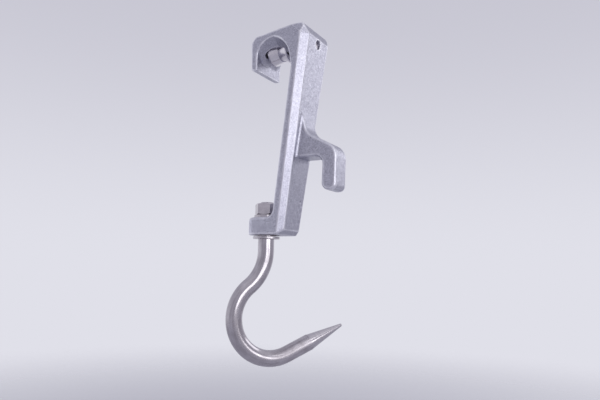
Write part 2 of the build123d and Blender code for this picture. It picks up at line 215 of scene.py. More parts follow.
def turned_coordinates(tree: Tree, turning: Turning) -> Socket:
    """Make coordinates that are the same all round a turned piece, so that noise on them makes rings.

    Args:
        tree: The node tree that takes the nodes.
        turning: The axis that the piece was turned about.

    Returns:
        A vector of place along the axis and radius, in metres.
    """
    along_axle = turning is Turning.AXLE
    centre = (0.0, 0.0, AXLE_HEIGHT_MM) if along_axle else ROD_PLACE_MM
    across = (1.0, 0.0, 1.0) if along_axle else (1.0, 1.0, 0.0)
    place = add_node(tree, "ShaderNodeTexCoord").outputs["Object"]
    from_centre = {0: place, 1: tuple(value * MM for value in centre)}
    local = add_node(tree, "ShaderNodeVectorMath", {"operation": "SUBTRACT"}, from_centre).outputs[0]
    flat = add_node(tree, "ShaderNodeVectorMath", PRODUCT, {0: local, 1: across}).outputs[0]
    radius = add_node(tree, "ShaderNodeVectorMath", LENGTH, {0: flat}).outputs["Value"]
    parts = add_node(tree, "ShaderNodeSeparateXYZ", inputs={0: local}).outputs
    along = parts["Y"] if along_axle else parts["Z"]
    return add_node(tree, "ShaderNodeCombineXYZ", inputs={"X": along, "Y": radius}).outputs[0]


def cut_relief(tree: Tree, shader: Node, layers: list[tuple[Socket, Relief]]) -> None:
    """Lay surface patterns over each other and feed the shader's normal.

    Args:
        tree: The node tree that takes the nodes.
        shader: The shader whose normal they drive.
        layers: Height and relief of each pattern, the lowest first.
    """
    below = None
    for height, relief in layers:
        inputs = {"Height": height, "Distance": relief.depth_mm * MM, "Strength": relief.strength}
        if below is not None:
            inputs["Normal"] = below
        below = add_node(tree, "ShaderNodeBump", inputs=inputs).outputs["Normal"]
    tree.links.new(below, shader.inputs["Normal"])


@dataclass(frozen=True)
class CastAluminium:
    """Aluminium cast in sand and tumbled: a pale, soft-edged metal with a fine grain.

    The tumbling leaves the edges a little brighter. The recesses are painted darker, as shade. The long
    chamfers keep the slanting marks of the belt that they were cleaned on, and a few gas pits stay
    open, their bottoms painted dark as shade. The grain and the belt marks are drawn coarser than real
    ones, which are too fine to show.
    """

    name: str = "tumbled_cast_aluminium"
    oxide: Stops = ((0.32, "#C2C2CF"), (0.7, "#CFCFDB"))
    sand: Stops = ((0.34, "#CCCCCE"), (0.62, "#FFFFFF"))
    belted: Stops = ((0.32, "#BDBDCB"), (0.62, "#DCDCE8"))
    # Painted shade: a darker colour laid into the recesses, where less light falls.
    hollow_shade: str = "#8E8E9A"
    worn: str = "#F4F4FA"
    # Painted shade: a near-black colour at the bottom of each gas pit.
    pit_shade: str = "#4A4A52"
    roughness: Change = Change((0.3, 0.7), (0.46, 0.38))
    mottle: Pattern = Pattern(3.2, 4.0)
    grain: Pattern = Pattern(0.9, 2.0)
    grain_relief: Relief = Relief(0.16, 0.6)
    # Pointiness is 0.5 on a flat face, less in a hollow and more on an edge.
    in_shaded_hollow: Change = Change((0.492, 0.46), (0.0, 0.8))
    on_edge: Change = Change((0.504, 0.524), (0.0, 0.8))
    wear: Pattern = Pattern(12.0, 1.0)
    wear_patches: Change = Change((0.3, 0.7), (0.55, 1.0))
    belt_mark: Pattern = Pattern(1.1, 2.0)
    belt_slant_deg: Place = (38.0, -22.0, 0.0)
    belt_stretch: Place = (1.0, 1.0, 0.1)
    belt_relief: Relief = Relief(0.16, 0.5)
    chamfer_azimuth_deg: float = 45.0
    chamfer_facing: Change = Change((0.9, 0.97))
    # Height at which the belt marks end, and half the height over which they fade.
    belted_up_to_mm: float = 16.9
    belted_end_mm: float = 0.4
    pit_spacing_mm: float = 11.0
    pit_edge: Change = Change((0.03, 0.065), (1.0, 0.0))
    pitted_cells: Change = Change((0.8, 0.84))
    pit_relief: Relief = Relief(0.5, 0.6)

    def make(self) -> bpy.types.Material:
        """Build the material: grained oxide with layers for chamfers, painted shade in recesses and gas
        pits, and worn edges.

        Returns:
            The finished material.
        """
        material, tree, shader = new_material(self.name)
        where = add_node(tree, "ShaderNodeTexCoord").outputs["Object"]
        mottle = add_node(tree, "ShaderNodeTexNoise", inputs=self.mottle.on(where)).outputs["Fac"]
        grain = add_node(tree, "ShaderNodeTexNoise", inputs=self.grain.on(where)).outputs["Fac"]
        lines = self.belt_lines(tree, where)
        chamfers = self.chamfers(tree, where)
        shaded_hollows, edges = self.shaded_hollows_and_worn_edges(tree, where)
        pits = self.pits(tree, where)
        oxide = add_node(tree, "ShaderNodeValToRGB", inputs={0: mottle}, stops=self.oxide).outputs[0]
        sand = add_node(tree, "ShaderNodeValToRGB", inputs={0: grain}, stops=self.sand).outputs[0]
        belted = add_node(tree, "ShaderNodeValToRGB", inputs={0: lines}, stops=self.belted).outputs[0]
        grained = {0: 1.0, FIRST_COLOUR: oxide, SECOND_COLOUR: sand}
        colour = add_node(tree, "ShaderNodeMix", MULTIPLY_COLOURS, grained).outputs[MIXED_COLOUR]
        layers = (
            (chamfers, belted),
            # Painted shade darkens the recesses.
            (shaded_hollows, linear(self.hollow_shade)),
            (edges, linear(self.worn)),
            # Painted shade darkens the bottom of each gas pit.
            (pits, linear(self.pit_shade)),
        )
        for share, above in layers:
            covered = {0: share, FIRST_COLOUR: colour, SECOND_COLOUR: above}
            colour = add_node(tree, "ShaderNodeMix", MIX_COLOURS, covered).outputs[MIXED_COLOUR]
        tree.links.new(colour, shader.inputs["Base Color"])
        shader.inputs["Metallic"].default_value = 1.0
        dull = add_node(tree, "ShaderNodeMapRange", SOFT, self.roughness.of(mottle)).outputs["Result"]
        tree.links.new(dull, shader.inputs["Roughness"])
        marks = add_node(tree, "ShaderNodeMath", PRODUCT, {0: lines, 1: chamfers}).outputs[0]
        sunk = add_node(tree, "ShaderNodeMath", {"operation": "SUBTRACT"}, {0: 1.0, 1: pits}).outputs[0]
        reliefs = [(grain, self.grain_relief), (marks, self.belt_relief), (sunk, self.pit_relief)]
        cut_relief(tree, shader, reliefs)
        return material

    def shaded_hollows_and_worn_edges(self, tree: Tree, where: Socket) -> tuple[Socket, Socket]:
        """Find the recesses, which take painted shade, and the edges that wear has brightened in
        patches.

        Args:
            tree: The node tree that takes the nodes.
            where: Place on the part.

        Returns:
            Share of the painted shade in the recesses and share of the worn colour.
        """
        bend = add_node(tree, "ShaderNodeNewGeometry").outputs["Pointiness"]
        shaded_hollows = add_node(tree, "ShaderNodeMapRange", SOFT, self.in_shaded_hollow.of(bend)).outputs["Result"]
        edges = add_node(tree, "ShaderNodeMapRange", SOFT, self.on_edge.of(bend)).outputs["Result"]
        swell = add_node(tree, "ShaderNodeTexNoise", inputs=self.wear.on(where)).outputs["Fac"]
        in_patch = self.wear_patches.of(swell)
        patches = add_node(tree, "ShaderNodeMapRange", SOFT, in_patch).outputs["Result"]
        worn = add_node(tree, "ShaderNodeMath", PRODUCT, {0: edges, 1: patches}).outputs[0]
        return shaded_hollows, worn

    def pits(self, tree: Tree, where: Socket) -> Socket:
        """Scatter round pits over the skin, which are sunk and given painted shade. Most cells of the
        pattern have none.

        Args:
            tree: The node tree that takes the nodes.
            where: Place on the part.

        Returns:
            1 at the bottom of each pit and 0 elsewhere.
        """
        spread = {"Vector": where, "Scale": per_mm(self.pit_spacing_mm)}
        cells = add_node(tree, "ShaderNodeTexVoronoi", inputs=spread).outputs
        number = add_node(tree, "ShaderNodeSeparateColor", inputs={0: cells["Color"]}).outputs[0]
        in_pit = self.pit_edge.of(cells["Distance"])
        near = add_node(tree, "ShaderNodeMapRange", SOFT, in_pit).outputs["Result"]
        pitted = self.pitted_cells.of(number)
        chosen = add_node(tree, "ShaderNodeMapRange", SOFT, pitted).outputs["Result"]
        return add_node(tree, "ShaderNodeMath", PRODUCT, {0: near, 1: chosen}).outputs[0]

    def belt_lines(self, tree: Tree, where: Socket) -> Socket:
        """Draw the slanting lines that a grinding belt leaves.

        Args:
            tree: The node tree that takes the nodes.
            where: Place on the part.

        Returns:
            Height of the lines, from 0 to 1.
        """
        slant = tuple(math.radians(angle) for angle in self.belt_slant_deg)
        leaning = {"Vector": where, "Rotation": slant}
        slanted = add_node(tree, "ShaderNodeMapping", inputs=leaning).outputs[0]
        stretched = {0: slanted, 1: self.belt_stretch}
        lined = add_node(tree, "ShaderNodeVectorMath", PRODUCT, stretched).outputs[0]
        return add_node(tree, "ShaderNodeTexNoise", inputs=self.belt_mark.on(lined)).outputs["Fac"]

    def chamfers(self, tree: Tree, where: Socket) -> Socket:
        """Find the long chamfers, which end below the slanting corners of the head.

        Args:
            tree: The node tree that takes the nodes.
            where: Place on the part.

        Returns:
            1 on a chamfer and 0 elsewhere.
        """
        up = add_node(tree, "ShaderNodeSeparateXYZ", inputs={0: where}).outputs["Z"]
        top, end = self.belted_up_to_mm * MM, self.belted_end_mm * MM
        under_top = Change((top + end, top - end)).of(up)
        below = add_node(tree, "ShaderNodeMapRange", SOFT, under_top).outputs["Result"]
        facing = add_node(tree, "ShaderNodeTexCoord").outputs["Normal"]
        size = add_node(tree, "ShaderNodeVectorMath", {"operation": "ABSOLUTE"}, {0: facing}).outputs[0]
        aslant = {0: size, 1: direction(self.chamfer_azimuth_deg, 0.0)}
        likeness = add_node(tree, "ShaderNodeVectorMath", DOT_PRODUCT, aslant).outputs["Value"]
        facing_out = self.chamfer_facing.of(likeness)
        outward = add_node(tree, "ShaderNodeMapRange", SOFT, facing_out).outputs["Result"]
        return add_node(tree, "ShaderNodeMath", PRODUCT, {0: outward, 1: below}).outputs[0]


@dataclass(frozen=True)
class Stainless:
    """Stainless steel, turned or milled and polished to a satin.

    It is a warm grey metal, smeared a little by polish and handling, with fine marks round a
    turned piece. The marks are drawn coarser than real ones, which are too fine to show.
    """

    name: str
    light: str = "#CECACE"
    dark: str = "#BCB8BC"
    roughness: float = 0.15
    # Share of the roughness that the darkest and the lightest metal have.
    gloss: Range = (1.2, 0.9)
    blotch: Pattern = Pattern(9.0, 3.0)
    blotch_range: Range = (0.3, 0.7)
    mark: Pattern = Pattern(0.35, 2.0)
    mark_relief: Relief = Relief(0.012, 0.5)
    turning: Turning = Turning.NOTHING

    def make(self) -> bpy.types.Material:
        """Build the material.

        Returns:
            The finished material.
        """
        material, tree, shader = new_material(self.name)
        where = add_node(tree, "ShaderNodeTexCoord").outputs["Object"]
        blotch = add_node(tree, "ShaderNodeTexNoise", inputs=self.blotch.on(where)).outputs["Fac"]
        plain = self.turning is Turning.NOTHING
        marked = where if plain else turned_coordinates(tree, self.turning)
        marks = add_node(tree, "ShaderNodeTexNoise", inputs=self.mark.on(marked)).outputs["Fac"]
        stops = tuple(zip(self.blotch_range, (self.dark, self.light)))
        colour = add_node(tree, "ShaderNodeValToRGB", inputs={0: blotch}, stops=stops).outputs[0]
        tree.links.new(colour, shader.inputs["Base Color"])
        shader.inputs["Metallic"].default_value = 1.0
        smeared = Change(self.blotch_range, tuple(self.roughness * share for share in self.gloss))
        rough = add_node(tree, "ShaderNodeMapRange", SOFT, smeared.of(blotch)).outputs["Result"]
        tree.links.new(rough, shader.inputs["Roughness"])
        cut_relief(tree, shader, [(marks, self.mark_relief)])
        return material


@dataclass(frozen=True)
class PolishedBar:
    """Round stainless bar, bent and polished along its length, with a turned spindle and point.

    The polish leaves long streaks that follow the bends, and turned marks run round the two ends,
    which are brighter. Streaks and marks are drawn wider than real ones, which are too fine to
    show. Towards the point the bar is a little coarser.
    """

    # Lengths from the top of the spindle to the start and the end of the plain bar.
    plain_from_mm: float
    plain_to_mm: float
    name: str = "belt_polished_stainless_bar"
    bar: Stops = ((0.34, "#A8A3A8"), (0.62, "#C7C3C8"))
    turned: Stops = ((0.3, "#BCB8BD"), (0.7, "#D2CFD3"))
    roughness: float = 0.175
    # Share of the roughness that the darkest and the lightest metal have.
    gloss: Range = (1.45, 0.8)
    gloss_range: Range = (0.35, 0.65)
    streak: Pattern = Pattern(1.5, 3.0)
    streak_stretch: Place = (0.07, 1.0, 1.0)
    smear: Pattern = Pattern(11.0, 3.0)
    smear_share: float = 0.5
    turned_mark: Pattern = Pattern(2.2, 2.0)
    # Half the length over which the streaks give way to turned marks.
    turned_edge_mm: float = 0.1
    mark_relief: Relief = Relief(0.022, 0.5)
    # Roughness that is added before the point, and the lengths before it where that grows.
    coarse: float = 0.16
    coarse_from_mm: float = 75.0
    coarse_to_mm: float = 25.0

    def make(self) -> bpy.types.Material:
        """Build the material.

        Returns:
            The finished material.
        """
        material, tree, shader = new_material(self.name)
        place = add_node(tree, "ShaderNodeAttribute", {"attribute_name": BAR_PLACE}).outputs["Vector"]
        along = add_node(tree, "ShaderNodeSeparateXYZ", inputs={0: place}).outputs["X"]
        ends = self.turned_ends(tree, along)
        stretched = {0: place, 1: self.streak_stretch}
        drawn = add_node(tree, "ShaderNodeVectorMath", PRODUCT, stretched).outputs[0]
        streaks = add_node(tree, "ShaderNodeTexNoise", inputs=self.streak.on(drawn)).outputs["Fac"]
        ringed = add_node(tree, "ShaderNodeCombineXYZ", inputs={"X": along}).outputs[0]
        rings = add_node(tree, "ShaderNodeTexNoise", inputs=self.turned_mark.on(ringed)).outputs["Fac"]
        either = {0: ends, FIRST_NUMBER: streaks, SECOND_NUMBER: rings}
        marks = add_node(tree, "ShaderNodeMix", inputs=either).outputs[0]
        where = add_node(tree, "ShaderNodeTexCoord").outputs["Object"]
        smear = add_node(tree, "ShaderNodeTexNoise", inputs=self.smear.on(where)).outputs["Fac"]
        smeared = {0: self.smear_share, FIRST_NUMBER: marks, SECOND_NUMBER: smear}
        both = add_node(tree, "ShaderNodeMix", inputs=smeared).outputs[0]
        bar = add_node(tree, "ShaderNodeValToRGB", inputs={0: both}, stops=self.bar).outputs[0]
        bright = add_node(tree, "ShaderNodeValToRGB", inputs={0: marks}, stops=self.turned).outputs[0]
        coloured = {0: ends, FIRST_COLOUR: bar, SECOND_COLOUR: bright}
        colour = add_node(tree, "ShaderNodeMix", MIX_COLOURS, coloured).outputs[MIXED_COLOUR]
        tree.links.new(colour, shader.inputs["Base Color"])
        shader.inputs["Metallic"].default_value = 1.0
        shades = Change(self.gloss_range, tuple(self.roughness * share for share in self.gloss))
        gloss = add_node(tree, "ShaderNodeMapRange", SOFT, shades.of(both)).outputs["Result"]
        coarse = self.coarse_stretch(tree, along)
        rough = add_node(tree, "ShaderNodeMath", inputs={0: gloss, 1: coarse}).outputs[0]
        tree.links.new(rough, shader.inputs["Roughness"])
        cut_relief(tree, shader, [(marks, self.mark_relief)])
        return material

    def turned_ends(self, tree: Tree, along: Socket) -> Socket:
        """Find the turned spindle and the turned point.

        Args:
            tree: The node tree that takes the nodes.
            along: Length along the bar, in metres.

        Returns:
            1 on the spindle and the point, and 0 on the plain bar.
        """
        edge = self.turned_edge_mm * MM
        point, shoulder = self.plain_to_mm * MM, self.plain_from_mm * MM
        past_point = Change((point - edge, point + edge)).of(along)
        on_point = add_node(tree, "ShaderNodeMapRange", SOFT, past_point).outputs["Result"]
        before_shoulder = Change((shoulder + edge, shoulder - edge)).of(along)
        on_spindle = add_node(tree, "ShaderNodeMapRange", SOFT, before_shoulder).outputs["Result"]
        ends = {0: on_point, 1: on_spindle}
        return add_node(tree, "ShaderNodeMath", {"operation": "MAXIMUM"}, ends).outputs[0]

    def coarse_stretch(self, tree: Tree, along: Socket) -> Socket:
        """Make the bar coarser towards the point, but not on it.

        Args:
            tree: The node tree that takes the nodes.
            along: Length along the bar, in metres.

        Returns:
            What is added to the roughness.
        """
        edge, point = self.turned_edge_mm * MM, self.plain_to_mm * MM
        run = (point - self.coarse_from_mm * MM, point - self.coarse_to_mm * MM)
        growing = Change(run, (0.0, self.coarse)).of(along)
        coarse = add_node(tree, "ShaderNodeMapRange", SOFT, growing).outputs["Result"]
        before_point = Change((point + edge, point - edge)).of(along)
        plain = add_node(tree, "ShaderNodeMapRange", SOFT, before_point).outputs["Result"]
        return add_node(tree, "ShaderNodeMath", PRODUCT, {0: coarse, 1: plain}).outputs[0]


@dataclass(frozen=True)
class FineFinish:
    """Finish of a small inner piece: one family of colours with a fine texture."""

    name: str
    light: str
    dark: str
    metallic: float
    roughness: float
    grain: Pattern = Pattern(0.5, 3.0)
    grain_range: Range = (0.35, 0.65)
    grain_relief: Relief = Relief(0.02, 0.3)

    def make(self) -> bpy.types.Material:
        """Build the material.

        Returns:
            The finished material.
        """
        material, tree, shader = new_material(self.name)
        where = add_node(tree, "ShaderNodeTexCoord").outputs["Object"]
        grain = add_node(tree, "ShaderNodeTexNoise", inputs=self.grain.on(where)).outputs["Fac"]
        stops = tuple(zip(self.grain_range, (self.dark, self.light)))
        colour = add_node(tree, "ShaderNodeValToRGB", inputs={0: grain}, stops=stops).outputs[0]
        tree.links.new(colour, shader.inputs["Base Color"])
        shader.inputs["Metallic"].default_value = self.metallic
        shader.inputs["Roughness"].default_value = self.roughness
        cut_relief(tree, shader, [(grain, self.grain_relief)])
        return material


@dataclass(frozen=True)
class Lamp:
    """One soft rectangular lamp: its direction from the part, its size in metres and its brightness."""

    name: str
    azimuth_deg: float
    elevation_deg: float
    distance: float
    width: float
    height: float
    radiance: float

    def hang(self, middle: Vector) -> None:
        """Hang the lamp so that it looks at a point.

        Args:
            middle: The point, in metres.
        """
        towards = direction(self.azimuth_deg, self.elevation_deg)
        data = bpy.data.lights.new(self.name, "AREA")
        data.shape = "RECTANGLE"
        data.size = self.width
        data.size_y = self.height
        data.energy = self.radiance * math.pi * self.width * self.height
        lamp = bpy.data.objects.new(self.name, data)
        lamp.location = middle + towards * self.distance
        lamp.rotation_euler = towards.to_track_quat("Z", "Y").to_euler()
        lamp.visible_camera = False
        bpy.context.scene.collection.objects.link(lamp)


@dataclass
class Studio:
    """Pale floor, pale air, soft lamps and the camera that stands where the photo was taken.

    Lengths are in metres. Heights in the air are the sine of the elevation that is looked at.
    """

    camera_place: Place = (-0.515892, -0.322730, -0.230217)
    azimuth_deg: float = 29.867
    elevation_deg: float = 6.709
    roll_deg: float = 1.162
    focal_px: float = 550.0
    clip_start: float = 0.01
    floor_z: float = -0.52
    floor_reach: float = 6.0
    floor_colour: str = "#C8C8CF"
    floor_roughness: float = 0.9
    # The paint fades with the distance from the part.
    floor_fade: Change = Change((0.45, 1.6), (1.0, 0.0))
    room: Stops = ((0.0, "#BAB8C4"), (1.0, "#D9D8E2"))
    room_height: Change = Change((0.35, 0.85))
    backdrop: Stops = ((0.0, "#E0E0E9"), (1.0, "#C7C6D2"))
    backdrop_height: Change = Change((0.0, 0.5))
    backdrop_azimuth_deg: float = 62.0
    # Cosine of the angle from the middle of the backdrop, where the room gives way to it.
    backdrop_side: Change = Change((-0.12, 0.4))
    middle: Vector = field(default_factory=lambda: Vector((0.0, -0.01, -0.14)))
    lamps: tuple[Lamp, ...] = (
        Lamp("window", 245, 5, distance=1.7, width=1.7, height=0.6, radiance=1.9),
        Lamp("upper_pane", 243, 38, distance=1.7, width=1.0, height=0.36, radiance=1.45),
        Lamp("bounce", 327, 21, distance=0.95, width=0.62, height=0.46, radiance=1.05),
    )

    def build(self) -> None:
        """Set up everything round the part."""
        self.build_camera()
        self.build_world()
        self.build_floor()
        for lamp in self.lamps:
            lamp.hang(self.middle)

    def build_camera(self) -> None:
        """Place the camera at the photo's viewing angle."""
        forward = direction(self.azimuth_deg, self.elevation_deg)
        level = direction(self.azimuth_deg - 90, 0)
        upright = level.cross(forward)
        roll = math.radians(self.roll_deg)
        right = level * math.cos(roll) + upright * math.sin(roll)
        up = upright * math.cos(roll) - level * math.sin(roll)
        data = bpy.data.cameras.new("camera")
        data.sensor_width = SENSOR_WIDTH_MM
        data.lens = self.focal_px * SENSOR_WIDTH_MM / PHOTO_WIDTH
        data.clip_start = self.clip_start
        camera = bpy.data.objects.new("camera", data)
        turn = Matrix((right, up, -forward)).transposed().to_4x4()
        camera.matrix_world = Matrix.Translation(self.camera_place) @ turn
        bpy.context.scene.collection.objects.link(camera)
        bpy.context.scene.camera = camera

    def build_world(self) -> None:
        """Fill the air: a quieter room on the camera's side and a pale backdrop behind the part."""
        world = bpy.data.worlds.new("studio_air")
        bpy.context.scene.world = world
        world.use_nodes = True
        tree = world.node_tree
        towards = add_node(tree, "ShaderNodeTexCoord").outputs["Generated"]
        height = add_node(tree, "ShaderNodeSeparateXYZ", inputs={0: towards}).outputs["Z"]
        shades = []
        for heights, stops in ((self.room_height, self.room), (self.backdrop_height, self.backdrop)):
            level = add_node(tree, "ShaderNodeMapRange", SOFT, heights.of(height)).outputs["Result"]
            shade = add_node(tree, "ShaderNodeValToRGB", inputs={0: level}, stops=stops).outputs[0]
            shades.append(shade)
        facing = {0: towards, 1: direction(self.backdrop_azimuth_deg, 0.0)}
        along = add_node(tree, "ShaderNodeVectorMath", DOT_PRODUCT, facing).outputs["Value"]
        on_that_side = self.backdrop_side.of(along)
        behind = add_node(tree, "ShaderNodeMapRange", SOFT, on_that_side).outputs["Result"]
        joined = {0: behind, FIRST_COLOUR: shades[0], SECOND_COLOUR: shades[1]}
        air = add_node(tree, "ShaderNodeMix", MIX_COLOURS, joined).outputs[MIXED_COLOUR]
        tree.links.new(air, tree.nodes["Background"].inputs["Color"])

    def build_floor(self) -> None:
        """Lay the pale floor well below the hook."""
        mesh = bpy.data.meshes.new("floor")
        reach = self.floor_reach
        corners = [(-reach, -reach), (reach, -reach), (reach, reach), (-reach, reach)]
        mesh.from_pydata([(x, y, self.floor_z) for x, y in corners], [], [(0, 1, 2, 3)])
        floor = bpy.data.objects.new("floor", mesh)
        bpy.context.scene.collection.objects.link(floor)
        mesh.materials.append(self.floor_paint())

    def floor_paint(self) -> bpy.types.Material:
        """Build matt paint that fades into the pale air far from the part and still takes its shadow.

        Returns:
            The floor's material.
        """
        material, tree, shader = new_material("matt_floor_paint")
        shader.inputs["Base Color"].default_value = linear(self.floor_colour)
        shader.inputs["Roughness"].default_value = self.floor_roughness
        place = add_node(tree, "ShaderNodeTexCoord").outputs["Object"]
        away = add_node(tree, "ShaderNodeVectorMath", LENGTH, {0: place}).outputs["Value"]
        cover = add_node(tree, "ShaderNodeMapRange", SOFT, self.floor_fade.of(away)).outputs["Result"]
        tree.links.new(cover, shader.inputs["Alpha"])
        return material


def dress(node: str, material: bpy.types.Material) -> None:
    """Give a CAD node its finish.

    Args:
        node: The node's name.
        material: The finish.
    """
    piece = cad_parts[node]
    piece.data.materials.clear()
    piece.data.materials.append(material)
    log.info("dressed %s in %s", node, material.name)


@dataclass(frozen=True)
class Dent:
    """A shallow hollow in the cast skin."""

    place_mm: Place
    radius_mm: float
    depth_mm: float


@dataclass
class CastFrame:
    """The one-piece casting, given the slightly uneven skin that the sand and tumbling leave."""

    node: str = "frame_casting"
    weld_mm: float = 0.001
    voxel_mm: float = 0.9
    swell_mm: float = 26.0
    swell_depth_mm: float = 0.22
    ripple_mm: float = 7.0
    ripple_depth_mm: float = 0.07
    # Where the ripple is read from the noise, so that it doesn't follow the swell.
    ripple_offset: Place = (7.3, 1.9, 4.1)
    # Machined places, which stay true: round the spindle below the head, and round the axle.
    head_bottom_mm: float = -100.0
    spindle_clear_mm: float = 15.0
    axle_clear_mm: float = 6.0
    clear_fade_mm: float = 4.0
    dent_steepness: float = 1.5
    dents: tuple[Dent, ...] = (
        Dent((10.0, -21.3, -161.1), 1.5, 0.8),
        Dent((8.5, -20.5, -167.5), 3.2, 0.45),
        Dent((3.5, -19.6, -172.5), 3.9, 0.4),
        Dent((12.5, -19.8, -173.0), 2.6, 0.5),
        Dent((7.5, -19.0, -178.0), 3.6, 0.35),
        Dent((14.0, -20.8, -165.0), 2.5, 0.3),
        Dent((-4.0, -20.2, -168.5), 3.0, 0.25),
        Dent((1.0, -17.9, -184.0), 4.4, 0.3),
        Dent((10.5, -18.0, -184.5), 3.0, 0.35),
        Dent((-9.0, -41.0, -20.0), 4.0, 0.2),
        Dent((6.5, -38.6, -38.0), 5.0, 0.18),
        Dent((-4.5, -35.6, -60.0), 5.0, 0.15),
    )

    def build(self) -> bpy.types.Object:
        """Make the skin from a copy of the node's mesh.

        Returns:
            The piece that stands for the node.
        """
        mesh = self.remeshed()
        self.unsettle(mesh)
        mesh.shade_smooth()
        piece = bpy.data.objects.new("cast_skin", mesh)
        bpy.context.scene.collection.objects.link(piece)
        mesh.materials.clear()
        mesh.materials.append(CastAluminium().make())
        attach(piece, "frame")
        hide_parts(self.node)
        log.info("built %s with %d faces", piece.name, len(mesh.polygons))
        return piece

    def remeshed(self) -> bpy.types.Mesh:
        """Turn the node's shape into an even, closed mesh of small faces.

        Returns:
            The new mesh.
        """
        welded = bmesh.new()
        welded.from_mesh(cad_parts[self.node].data)
        bmesh.ops.remove_doubles(welded, verts=welded.verts, dist=self.weld_mm * MM)
        source = bpy.data.meshes.new("casting_source")
        welded.to_mesh(source)
        welded.free()
        holder = bpy.data.objects.new("casting_source", source)
        bpy.context.scene.collection.objects.link(holder)
        remesh = holder.modifiers.new("voxels", "REMESH")
        remesh.mode = "VOXEL"
        remesh.voxel_size = self.voxel_mm * MM
        graph = bpy.context.evaluated_depsgraph_get()
        mesh = bpy.data.meshes.new_from_object(holder.evaluated_get(graph))
        bpy.data.objects.remove(holder)
        bpy.data.meshes.remove(source)
        return mesh

    def unsettle(self, mesh: bpy.types.Mesh) -> None:
        """Push every point a little in or out along its normal, less near machined places.

        Args:
            mesh: The mesh, which is changed in place.
        """
        count = len(mesh.vertices)
        places = np.empty(count * 3, dtype=np.float32)
        normals = np.empty(count * 3, dtype=np.float32)
        mesh.vertices.foreach_get("co", places)
        mesh.vertex_normals.foreach_get("vector", normals)
        places = places.reshape(-1, 3) / MM
        normals = normals.reshape(-1, 3)
        height = np.array([self.height_at(Vector(place)) for place in places])
        for dent in self.dents:
            gap = np.linalg.norm(places - np.array(dent.place_mm), axis=1) / dent.radius_mm
            height -= dent.depth_mm * np.exp(-self.dent_steepness * gap * gap)
        height *= self.cast_share(places)
        moved = (places + normals * height[:, None]) * MM
        mesh.vertices.foreach_set("co", moved.astype(np.float32).ravel())
        mesh.update()

    def height_at(self, place: Vector) -> float:
        """Work out how far the uneven skin stands proud at a place.

        Args:
            place: The place, in millimetres.

        Returns:
            The height, in millimetres.
        """
        offset = Vector(self.ripple_offset)
        swell = noise.noise(place / self.swell_mm) * self.swell_depth_mm
        ripple = noise.noise(place / self.ripple_mm + offset) * self.ripple_depth_mm
        return swell + ripple

    def cast_share(self, places: np.ndarray) -> np.ndarray:
        """Tell cast skin from the places round the axle and the spindle, which are machined.

        Args:
            places: The points, in millimetres.

        Returns:
            1 on cast skin, falling to 0 where the part is machined, for each point.
        """
        rod = np.hypot(places[:, 0] - ROD_PLACE_MM[0], places[:, 1] - ROD_PLACE_MM[1])
        axle = np.hypot(places[:, 0], places[:, 2] - AXLE_HEIGHT_MM)
        from_rod = np.where(places[:, 2] < self.head_bottom_mm, rod - self.spindle_clear_mm, np.inf)
        nearest = np.minimum(from_rod, axle - self.axle_clear_mm)
        return np.clip(nearest / self.clear_fade_mm, 0.0, 1.0)


@dataclass
class RollerUnit:
    """The waisted roller with its bearings, circlips, spacers and axle."""

    sides: tuple[str, ...] = ("front", "rear")

    def build(self) -> None:
        """Dress every node of the unit."""
        round_axle = Turning.AXLE
        # Turned and polished: bright, with fine rings round the cones.
        roller = Stainless("polished_turned_roller", "#E8E5EA", "#DAD7DC", 0.13, turning=round_axle)
        dress("roller", roller.make())
        # Ground: a duller grey with rings on its end.
        dress("axle_pin", Stainless("ground_axle", roughness=0.24, turning=round_axle).make())
        # Turned and left so: satin.
        spacer = Stainless("turned_spacer", roughness=0.3, turning=round_axle).make()
        # Ground and honed steel: a cooler and darker grey.
        ring = Stainless("ground_bearing_ring", "#BDBEC0", "#AEAFB2", 0.14, turning=round_axle).make()
        # Lapped steel: nearly a mirror.
        ball = FineFinish("polished_ball", "#C6C7C9", "#BEBFC1", 1.0, 0.08).make()
        # Hardened spring steel: dark grey from the oil that it was cooled in.
        spring = FineFinish("spring_steel", "#8E8F93", "#77787D", 1.0, 0.34).make()
        # Pressed brass sheet: yellow and satin.
        brass = FineFinish("pressed_brass", "#C9A25A", "#B08A45", 1.0, 0.3).make()
        # Moulded nitrile rubber: matt black.
        rubber = FineFinish("seal_rubber", "#1E1E20", "#161618", 0.0, 0.6).make()
        dress("bearing_spacer", spacer)
        for side in self.sides:
            dress(f"{side}_side_spacer", spacer)
            dress(f"{side}_bearing_outer_ring", ring)
            dress(f"{side}_bearing_inner_ring", ring)
            dress(f"{side}_bearing_balls", ball)
            dress(f"{side}_bearing_cage", brass)
            dress(f"{side}_circlip", spring)
            dress(f"{side}_bearing_outer_seal", rubber)
            dress(f"{side}_bearing_inner_seal", rubber)


@dataclass(frozen=True)
class Ring:
    """One ring of points on the bar: its centre in the hook's plane, its heading and its radius."""

    across_mm: float
    up_mm: float
    heading_deg: float
    radius_mm: float

    def centre(self) -> Vector:
        """Centre of the ring, in millimetres."""
        return Vector((self.across_mm, 0.0, self.up_mm))

    def ahead(self) -> Vector:
        """Unit vector along the bar, towards the point."""
        heading = math.radians(self.heading_deg)
        return Vector((math.cos(heading), 0.0, math.sin(heading)))

    def outward(self) -> Vector:
        """Unit vector across the bar, in the hook's plane."""
        heading = math.radians(self.heading_deg)
        return Vector((-math.sin(heading), 0.0, math.cos(heading)))


